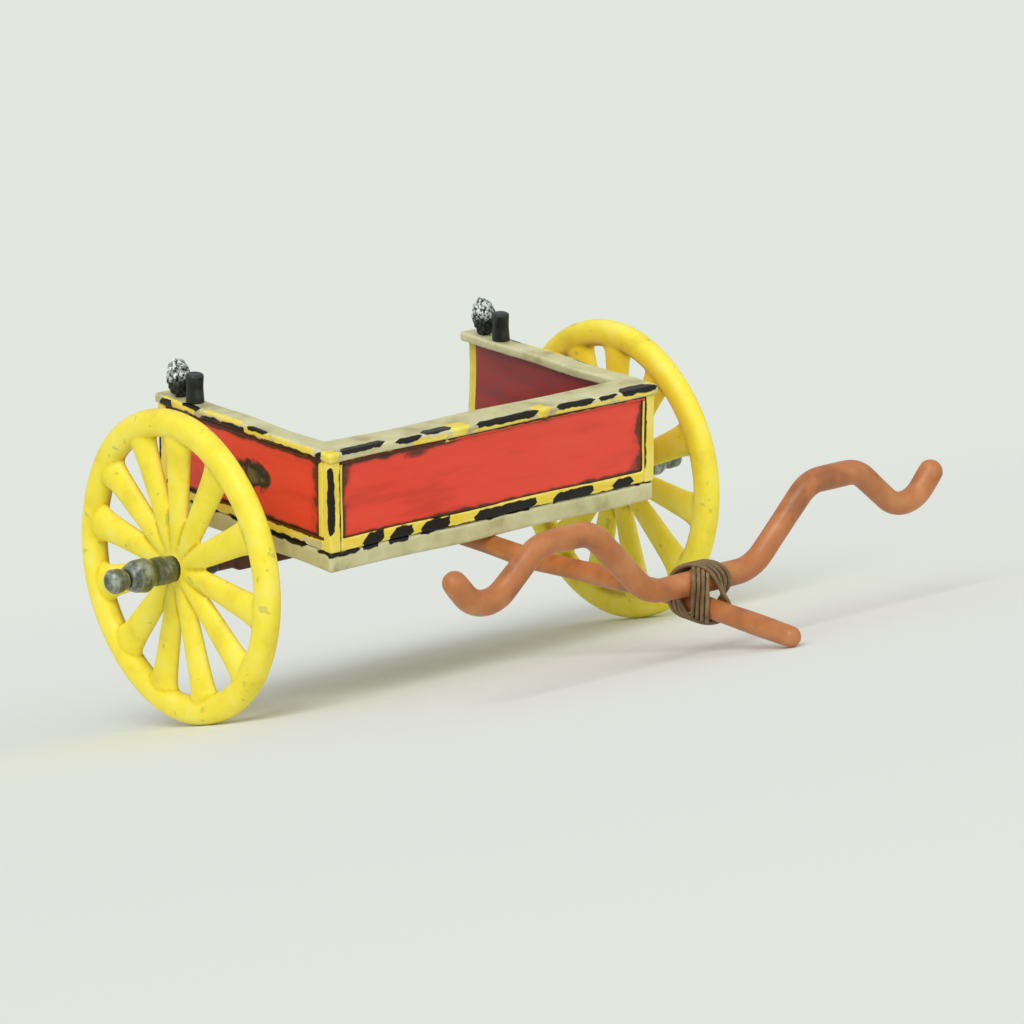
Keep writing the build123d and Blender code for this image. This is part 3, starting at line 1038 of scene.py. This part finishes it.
for name, axis, hand in (("front", 1, -1), ("right", 0, -1), ("left", 0, 1)):
    low, high = level_box(f"{name}_panel")
    outside = low[axis] if hand < 0 else high[axis]
    masks = {"border": border_of(name, 1 - axis), "inner": inner_of(axis, outside)}
    if name == "front":
        masks["shade"] = front_shade
    if name == "right":
        masks["smudge"] = side_smudge
    block_piece(f"{name}_wall", f"{name}_panel", wall_paint, 0.05, 0.3, masks)

# %% [markdown]
# ## Painted edging
# Slab, frames and rail share one strip: along, the millimetres from the near front corner
# over the front, or the millimetres back from a front corner with a minus sign, and up, the
# millimetres above the slab. On the rail's top the second goes on inwards. So a stroke at
# the near corner runs on round it.

# %% Edging tables: start, end, lower and upper side in millimetres
rail_base = rail_low[2] - slab_high[2]


def on_side(strokes):
    """A table of distances back from the front corner, turned to the strip's negative places."""
    return [(-end, -start, low, high) for start, end, low, high in reversed(strokes)]


front_low_black = [
    (-0.3, 1.3, -0.18, 0.0), (1.3, 2.35, -0.16, 0.52), (2.65, 3.85, -0.16, 0.48), (4.15, 5.65, -0.06, 0.46),
    (6.8, 9.95, -0.06, 0.42), (10.85, 12.95, 0.0, 0.42), (13.85, 15.0, -0.03, 0.4),
    (15.05, 16.3, -0.06, 0.06),
]
side_low_black = on_side([
    (-0.3, 1.0, -0.12, 0.02), (1.7, 4.3, -0.13, 0.12), (4.8, 6.9, -0.06, 0.14), (7.4, 9.4, -0.08, 0.12),
    (9.8, 11.0, -0.02, 0.2),
])
front_low_brown = [(4.1, 16.3, -0.04, 0.05)]
side_low_brown = on_side([(0.2, 11.0, 0.4, 0.56)])
side_low_stone = on_side([(0.5, 1.9, -0.02, 0.34)])
front_top_brown = [(0.2, 5.7, 3.42, 3.64), (5.75, 16.1, 3.52, 3.64)]
front_top_red = [(5.75, 16.1, 3.4, 3.53)]
side_top_brown = on_side([(0.6, 11.0, 3.4, 3.64)])
front_rail_yellow = [
    (-0.3, 0.35, -0.1, 0.95), (3.9, 5.65, 0.02, 0.24), (5.7, 6.75, 0.02, 1.0), (6.85, 9.95, 0.05, 0.2),
    (10.0, 10.85, 0.02, 1.0), (10.95, 13.95, 0.05, 0.2), (14.05, 16.2, 0.08, 0.26),
]
front_rail_black = [
    (0.12, 2.3, 0.26, 0.8), (2.85, 4.1, 0.2, 0.52), (4.12, 5.65, 0.36, 0.92), (6.8, 9.95, 0.16, 0.56),
    (10.85, 12.9, 0.18, 0.56), (13.0, 14.0, 0.22, 0.48), (14.1, 16.2, 0.2, 0.9),
]
side_rail_yellow = on_side([
    (-0.3, 0.5, -0.1, 0.95), (0.9, 3.6, 0.12, 0.4), (3.65, 5.5, 0.1, 0.34), (5.55, 8.1, 0.26, 0.62),
    (8.5, 10.8, 0.1, 0.5),
])
side_rail_brown = on_side([(0.45, 4.4, -0.12, 0.13), (4.5, 8.3, -0.12, 0.2), (8.4, 11.1, -0.12, 0.1)])
side_rail_black = on_side([
    (0.7, 1.0, 0.0, 0.38), (1.2, 3.4, -0.12, 0.14), (4.2, 5.5, 0.24, 0.56), (5.5, 7.15, -0.12, 0.26),
    (7.3, 8.3, -0.12, 0.22), (8.5, 9.9, 0.26, 0.6), (10.3, 11.2, -0.12, 0.36),
])
top_base = rail_base - 0.3


def raised(strokes):
    """A rail table counted from the rail's underside, raised to millimetres above the slab."""
    return [(start, end, low + rail_base, high + rail_base) for start, end, low, high in strokes]


low_layers = [
    ("stone", -0.3, 0.0, side_low_stone), ("brown", -0.3, 0.0, side_low_brown),
    ("brown", -0.3, 0.0, front_low_brown),
    ("black", -0.3, 0.5, front_low_black), ("black", -0.3, 0.5, side_low_black),
]
frame_layers = low_layers + [
    ("red", top_base, 0.0, front_top_red), ("brown", top_base, 0.0, front_top_brown),
    ("brown", top_base, 0.0, side_top_brown),
]
rail_layers = [
    ("brown", top_base, 0.0, raised(side_rail_brown)),
    ("yellow", top_base, 0.0, raised(front_rail_yellow)), ("yellow", top_base, 0.0, raised(side_rail_yellow)),
    ("black", top_base, 0.4, raised(front_rail_black)), ("black", top_base, 0.4, raised(side_rail_black)),
]
print(len(front_low_black) + len(front_rail_black), "black strokes in front")

# %% [markdown]
# The slab is one soft block. Each frame is four soft bars that overlap at the corners, so
# they are fused and relaxed. All of them carry the strip, and the painted tables do the rest.

# %% Slab and edging frames
inside_depth, far_inside = 0.75, 9.0
under_top, over_rail_foot, past_edge, near_floor = 0.08, 0.04, 0.2, 0.08


def edge_strip(points, normals):
    """Along and up, from the nearest of the three outer faces of the box; past the rail's top edge
    the distance in from that face is added, and the faces inside the box lie far above all strokes."""
    x, y, z = points.T
    inward = np.stack([y - slab_low[1], x - slab_low[0], slab_high[0] - x])
    along = np.where(np.argmin(inward, axis=0) == 0, x - slab_low[0], slab_low[1] - y)
    depth = np.min(inward, axis=0) + rail_overhang
    on_top = np.clip(depth, 0, None) * (z > rail_high[2] - under_top)
    inner_face = (depth > inside_depth) & (z > rail_low[2] + over_rail_foot)
    floor_top = (depth > rail_overhang + past_edge) & (np.abs(z - slab_high[2]) < near_floor)
    far_off = far_inside * (inner_face | floor_top)
    return np.stack([along, z - slab_high[2] + on_top + far_off, 0 * x], axis=1)


def bars(low, high, along, side):
    """Four soft bars round a frame that runs along x (0) or y (1)."""
    below, above, near, far = high.copy(), low.copy(), high.copy(), low.copy()
    below[2], above[2] = low[2] + frame_below, high[2] - frame_above
    near[along], far[along] = low[along] + side, high[along] - side
    ends = ((low, below), (above, high), (low, near), (far, high))
    return [soft_box(start, end, 0.035, 0.4) for start, end in ends]


slab_paint = edging_paint("slab_tan", "stone", low_layers[3:])
block_piece("floor_plate", "floor_slab", slab_paint, 0.16, 0.25, {"strip": edge_strip})
frame_paint = edging_paint("frame_edging", "yellow", frame_layers)
for name, axis in (("front", 0), ("right", 1), ("left", 1)):
    grids = bars(*level_box(f"{name}_trim"), axis, frame_side[name])
    make_piece(f"{name}_edging_frame", grids, frame_paint, [f"{name}_trim"], 6.0, {"strip": edge_strip},
               voxel=0.045, relax=3, wave=casting_wave)

# %% [markdown]
# ## Corner posts
# The posts are yellow with one black line down the outer corner and a brown one beside
# the front wall. Their strip runs up the post, and across it goes round the corner, from
# the side face to the front or rear one.

# %% Corner posts
post_brown = [(0.4, 3.7, 0.91, 1.05)]
post_black = {"right": [(0.7, 3.5, 0.3, 0.7)], "left": [(0.7, 3.5, 0.02, 0.36)]}
post_paints = {}
for name, black in post_black.items():
    layers = [("brown", 0.0, 0.0, post_brown), ("black", 0.0, 0.0, black)]
    post_paints[name] = edging_paint(f"{name}_post_edging", "yellow", layers)
outer_margin, inner_margin = 0.06, 0.44


def post_strip(corner_x, corner_y, foot):
    """The formula of one post's strip: up the post, and round its outer corner from a half at the
    edge, with the inner faces far off."""

    def strip(points, normals):
        """Up the post and across it, for every point."""
        off_x, off_y = np.abs(points[:, 0] - corner_x), np.abs(points[:, 1] - corner_y)
        inner_face = (np.maximum(off_x, off_y) > inner_margin) * (np.minimum(off_x, off_y) > outer_margin)
        across = 0.5 + off_x - off_y + far_inside * inner_face
        return np.stack([points[:, 2] - foot, across, 0 * off_x], axis=1)

    return strip


for end in ("front", "rear"):
    for name, hand in hands.items():
        node = f"{end}_{name}_post"
        low, high = level_box(node)
        corner_x = low[0] if hand < 0 else high[0]
        corner_y = low[1] if end == "front" else high[1]
        masks = {"strip": post_strip(corner_x, corner_y, low[2])}
        block_piece(f"{end}_{name}_corner", node, post_paints[name], 0.08, 0.2, masks)

# %% [markdown]
# ## Top rail
# The rail is one casting that runs round three sides, open at the back and wider in
# front. Three soft bars are fused.

# %% Top rail
rail_width, front_rail_width = 1.0, 1.6
rail_paint = edging_paint("rail_edging", "stone", rail_layers)
rail_bars = [
    soft_box(rail_low, (rail_high[0], rail_low[1] + front_rail_width, rail_high[2]), 0.1, 0.4),
    soft_box(rail_low, (rail_low[0] + rail_width, rail_high[1], rail_high[2]), 0.1, 0.4),
    soft_box((rail_high[0] - rail_width, rail_low[1], rail_low[2]), rail_high, 0.1, 0.4),
]
make_piece("box_rail", rail_bars, rail_paint, ["top_rail"], 4.0, {"strip": edge_strip},
           voxel=0.05, relax=4, wave=casting_wave)

# %% [markdown]
# ## Axle beam
# The square beam under the floor carries a round shoulder and a thin axle end at each
# side. The three were one casting, so they are fused.

# %% Axle beam
beam_low, beam_high = level_box("axle_beam")
beam_end = slab_high[0] + 0.5
shoulder_end, shoulder_r, axle_r = 9.45, 0.5, 0.3
beam = [soft_box((-beam_end, *beam_low[1:]), (beam_end, *beam_high[1:]), 0.2, 0.5)]
for start, end, radius in ((-shoulder_end, shoulder_end, shoulder_r), (beam_low[0], beam_high[0], axle_r)):
    beam.append(turned([(start, 0), (start, radius), (end, radius), (end, 0)]))
make_piece("axle_bar", beam, axle_paint, ["axle_beam"], voxel=0.07, relax=2)

# %% [markdown]
# ## Pole and yoke
# Both are round bars along a path of straight runs and arcs. A path function finds the
# arcs, and a tube follows it with a radius that wavers a little, as a bent wire under
# paint does.

# %% Pole
pole_low, pole_high = level_box("pole")
pole_r = (pole_high[0] - pole_low[0]) / 2
pole_knee, pole_shelf, pole_bend_r = -8.0, -15.5, 14.0
run = [(pole_high[1], pole_low[2] + pole_r), (pole_knee, pole_low[2] + pole_r),
       (pole_shelf, pole_high[2] - pole_r), (pole_low[1], pole_high[2] - pole_r)]
path = rounded_path(run, (pole_bend_r, pole_bend_r))
place = np.stack([0 * path[:, 0], path[:, 0], path[:, 1]], axis=1)
waver = pole_r - 0.012 + 0.012 * np.sin(1.4 * path[:, 0])
make_piece("draught_pole", [tube(place, waver, (1.0, 0.0, 0.0))], bar_paint, ["pole"])

# %% [markdown]
# The yoke has two humps with a dip between them, and ends that turn up. Its corners are
# listed for one side, in millimetres out from the pole and up, and mirrored for the other.

# %% Yoke
yoke_low, yoke_high = level_box("yoke")
yoke_forward = (yoke_low[1] + yoke_high[1]) / 2
yoke_r = (yoke_high[1] - yoke_low[1]) / 2
yoke_height = yoke_low[2] + yoke_r
yoke_corners = [(2.6, 0.0), (5.4, 2.9), (7.9, 2.9), (10.5, 0.6), (12.1, 2.52)]
yoke_radii = [1.8, 1.4, 1.4, 1.3]
run = [(-x, yoke_height + z) for x, z in yoke_corners[::-1]] + [(x, yoke_height + z) for x, z in yoke_corners]
path = rounded_path(run, yoke_radii[::-1] + yoke_radii)
place = np.stack([path[:, 0], 0 * path[:, 0] + yoke_forward, path[:, 1]], axis=1)
waver = yoke_r - 0.02 + 0.02 * np.sin(1.1 * path[:, 0] + 0.5)
make_piece("curved_yoke", [tube(place, waver, (0.0, 1.0, 0.0), sides=28)], bar_paint, ["yoke"])

# %% [markdown]
# ## Yoke binding
# A cord binds the yoke down on the pole. It is wound crosswise, so each turn is a closed
# loop in an upright plane that stands slantwise to both bars. Such a plane cuts each bar
# in an ellipse, and a tight loop is the string round the two: in every direction it goes
# to whichever ellipse reaches farther.

# %% Yoke binding
cord_r, cord_sides = 0.09, 10
turns_each_way, turn_spacing = 4, 1.96
ways_round = ((math.radians(50), 0.0), (math.radians(-50), 0.12))
pole_axis_height = pole_high[2] - pole_r


def cord_loop(slant, offset, lift):
    """A loop in the plane through level directions (cos slant, sin slant, 0) and up, moved sideways by
    offset. A bar of radius r along x is cut with half width r over the sine of slant, and one along
    y with r over its cosine; the string lies cord radius plus lift outside them."""
    sine, cosine = math.sin(slant), math.cos(slant)
    angle = np.linspace(0, 2 * math.pi, 181)
    way = np.stack([np.cos(angle), np.sin(angle)], axis=1)
    cuts = (
        (-offset * cosine / sine, yoke_height, yoke_r / abs(sine), yoke_r),
        (offset * sine / cosine, pole_axis_height, pole_r / cosine, pole_r),
    )
    reach, place = [], []
    for middle, height, half_wide, half_high in cuts:
        long = np.sqrt((half_wide * way[:, 0]) ** 2 + (half_high * way[:, 1]) ** 2)
        sideways = middle + half_wide ** 2 * way[:, 0] / long
        upwards = height + half_high ** 2 * way[:, 1] / long
        place.append(np.stack([sideways, upwards], axis=1))
        reach.append((place[-1] * way).sum(axis=1))
    farther = (reach[1] > reach[0])[:, None]
    string = resample(np.where(farther, place[1], place[0]) + (cord_r + lift) * way, 0.09)
    normal = np.array([-sine, cosine, 0.0])
    flat = np.array([cosine, sine, 0.0])
    path = string[:, :1] * flat + string[:, 1:] * np.array([0, 0, 1.0]) + normal * offset
    path = path + np.array([0.0, yoke_forward, 0.0])
    ahead = np.roll(path[:-1], -1, axis=0) - np.roll(path[:-1], 1, axis=0)
    ahead = np.concatenate([ahead, ahead[:1]])
    outwards = np.cross(ahead / np.linalg.norm(ahead, axis=1, keepdims=True), normal)
    radius = np.full(len(path), cord_r)
    points, quads = rings_along(path, radius, outwards, np.broadcast_to(normal, path.shape), cord_sides)
    points[-cord_sides:] = points[:cord_sides]
    return points, quads


loops = []
for slant, lift in ways_round:
    for number in range(turns_each_way):
        offset = (number - (turns_each_way - 1) / 2) * cord_r * turn_spacing
        loops.append(cord_loop(slant, offset, lift))
make_piece("yoke_binding", loops, cord_paint, ["yoke_lashing"], 8.0)

# %% [markdown]
# ## Plumes
# A black block stands on each side rail with a bushy tuft behind it. The block is a turned
# shape. The tuft could be strands, but on the toy it is a cast ball of curls under thick
# paint. So it is an egg with curls set evenly over it by the golden angle, fused. Each
# curl is dabbed white or left black, mostly white above, and the dips between stay black.

# %% Plumes
curl_count, curl_r = 80, 0.09
tuft_half_width, tuft_half_length, tuft_lean = 0.48, 0.74, math.radians(12)
tuft_halves = np.array([tuft_half_width, tuft_half_width, tuft_half_length])
curl_halves = curl_r * np.array([1.0, 1.0, 1.5])
block_wave = 0.03
golden_angle = math.pi * (3 - math.sqrt(5))
dice = np.random.default_rng(11)


def egg(middle, axes, reach, steps):
    """A sphere stretched along three axes: the cosine of one angle goes from pole to pole, and its
    sine is the width of the circle there."""
    down = np.linspace(0, math.pi, steps)[:, None]
    around = circle(2 * steps)
    ball, quads = ring_grid(np.sin(down) * np.cos(around), np.sin(down) * np.sin(around), np.cos(down))
    return middle + (ball * reach) @ axes, quads


def curl_places(middle, axes):
    """Directions evenly over a sphere: equal steps of height, each turned by the golden angle from
    the last, then stretched to the tuft's egg and set a little in or out of it."""
    number = np.arange(curl_count)
    height = 1 - (2 * number + 1) / curl_count
    wide = np.sqrt(1 - height ** 2)
    angle = golden_angle * number
    way = np.stack([wide * np.cos(angle), wide * np.sin(angle), height], axis=1)
    stand_out = 1 + 0.08 * np.sin(2.4 * number)
    return middle + (way * (tuft_halves - 0.7 * curl_r) * stand_out[:, None]) @ axes, height


def white_of(places, height):
    """The mask's formula: the nearest curl's own share of white, chance times its height."""
    share = dice.uniform(0.35, 1.5, curl_count) * np.clip(2.5 * (height + 0.2), 0, 1)

    def white(points, normals):
        """Every point takes the share of the curl whose middle is nearest."""
        away = np.linalg.norm(points[:, None] - places[None], axis=2)
        return np.clip(share[np.argmin(away, axis=1)], 0, 1)

    return white


for name in hands:
    low, high = level_box(f"{name}_plume_socket")
    middle, block_r, block_top = (low + high) / 2, 0.93 * (high[0] - low[0]) / 2, high[2] - 0.08
    corners = [(low[2], 0), (low[2], block_r), (low[2] + 0.6, block_r * 0.92), (block_top, block_r),
               (block_top, 0)]
    points, quads = turned(rounded_path(corners, (0.05, 0.3, 0.1), 0.03), 40)
    points = np.stack([points[:, 1] + middle[0], points[:, 2] + middle[1], points[:, 0]], axis=1)
    make_piece(f"{name}_plume_block", [(points, quads)], plume_paint, [f"{name}_plume_socket"], 5.0,
               wave=block_wave)
    foot = level_box(f"{name}_plume")[0][2]
    stem = np.array([0.0, math.sin(tuft_lean), math.cos(tuft_lean)])
    side = np.array([1.0, 0.0, 0.0])
    axes = np.stack([side, np.cross(stem, side), stem])
    heart = np.array([middle[0], high[1] + tuft_half_width + 0.03, foot]) + tuft_half_length * stem
    places, height = curl_places(heart, axes)
    grids = [egg(heart, axes, tuft_halves - curl_r, 24)]
    for place, size in zip(places, dice.uniform(0.8, 1.3, curl_count)):
        grids.append(egg(place, axes, curl_halves * size, 10))
    make_piece(f"{name}_plume_tuft", grids, plume_paint, [f"{name}_plume"], 9.0,
               {"white": white_of(places, height)}, voxel=0.028, relax=1)

# %% [markdown]
# ## Floor, backdrop and light
# The toy stands on a plain pale floor. Seen from so low, a floor would end in a horizon,
# so it fades with distance into the plain colour that the world shows to the camera. The
# light is a soft sun and an even sky, at a level at which a paint renders as it is
# written.

# %% Stage
backdrop_colour = linear(226, 231, 224)
floor_albedo = (0.8, 0.83, 0.78, 1.0)
floor_half = 3.0
fade_start_mm, fade_end_mm = 35.0, 120.0
white = (1.0, 1.0, 1.0, 1.0)
sky_strength = 0.58


def show_plain(tree, kind, lit, share, output):
    """Mixes the lit shader with the plain backdrop colour by the share, into the output's surface."""
    plain = add_node(tree, kind, {"Color": backdrop_colour, "Strength": 1.0})
    mixed = add_node(tree, "ShaderNodeMixShader", {0: share, 1: lit.outputs[0], 2: plain.outputs[0]})
    tree.links.new(mixed.outputs[0], tree.nodes[output].inputs["Surface"])


floor_mesh = bpy.data.meshes.new("floor")
corners = [(x * floor_half, y * floor_half, 0) for x, y in ((-1, -1), (1, -1), (1, 1), (-1, 1))]
floor_mesh.from_pydata(corners, [], [(0, 1, 2, 3)])
floor = place_object("floor", floor_mesh)

floor_material = bpy.data.materials.new("pale_floor")
floor_material.use_nodes = True
tree = floor_material.node_tree
shader = tree.nodes["Principled BSDF"]
shader.inputs["Base Color"].default_value = floor_albedo
shader.inputs["Roughness"].default_value = 0.9
shader.inputs["Specular IOR Level"].default_value = 0.1
place = add_node(tree, "ShaderNodeTexCoord").outputs["Object"]
reach = add_node(tree, "ShaderNodeVectorMath", {0: place}, operation="LENGTH").outputs["Value"]
fade = smooth_step(tree, reach, fade_start_mm * mm, fade_end_mm * mm)
rays = add_node(tree, "ShaderNodeLightPath").outputs
seen = plus(tree, rays["Is Camera Ray"], rays["Is Glossy Ray"], clamp=True)
show_plain(tree, "ShaderNodeEmission", shader, times(tree, fade, seen), "Material Output")
floor_mesh.materials.append(floor_material)

world = bpy.data.worlds.new("soft_sky")
bpy.context.scene.world = world
world.use_nodes = True
tree = world.node_tree
sky = tree.nodes["Background"]
sky.inputs["Color"].default_value = white
sky.inputs["Strength"].default_value = sky_strength
rays = add_node(tree, "ShaderNodeLightPath").outputs
seen = plus(tree, rays["Is Camera Ray"], rays["Is Transmission Ray"], clamp=True)
show_plain(tree, "ShaderNodeBackground", sky, seen, "World Output")
print("floor fades from", fade_start_mm, "to", fade_end_mm, "mm")

# %% [markdown]
# The main lamp stands high on the right and in front, and a weaker one low in front fills
# the shadows. Both are wide, so the shadows are as soft as a cloudy window's.

# %% Lamps
def add_sun(name, direction, strength, spread_degrees):
    """A soft sun that shines from a direction given in level millimetres."""
    lamp = bpy.data.lights.new(name, "SUN")
    lamp.energy = strength
    lamp.angle = math.radians(spread_degrees)
    world_direction = Vector(np.asarray(direction, float) @ level_axes)
    place_object(name, lamp).rotation_euler = world_direction.to_track_quat("Z", "Y").to_euler()


add_sun("main_lamp", (-0.75, -0.35, 1.0), 1.5, 40)
add_sun("fill_lamp", (0.3, -1.0, 0.6), 0.5, 60)
print("lamps", [lamp.name for lamp in bpy.data.lights])

# %% Finish
bpy.context.scene.view_settings.view_transform = "Standard"
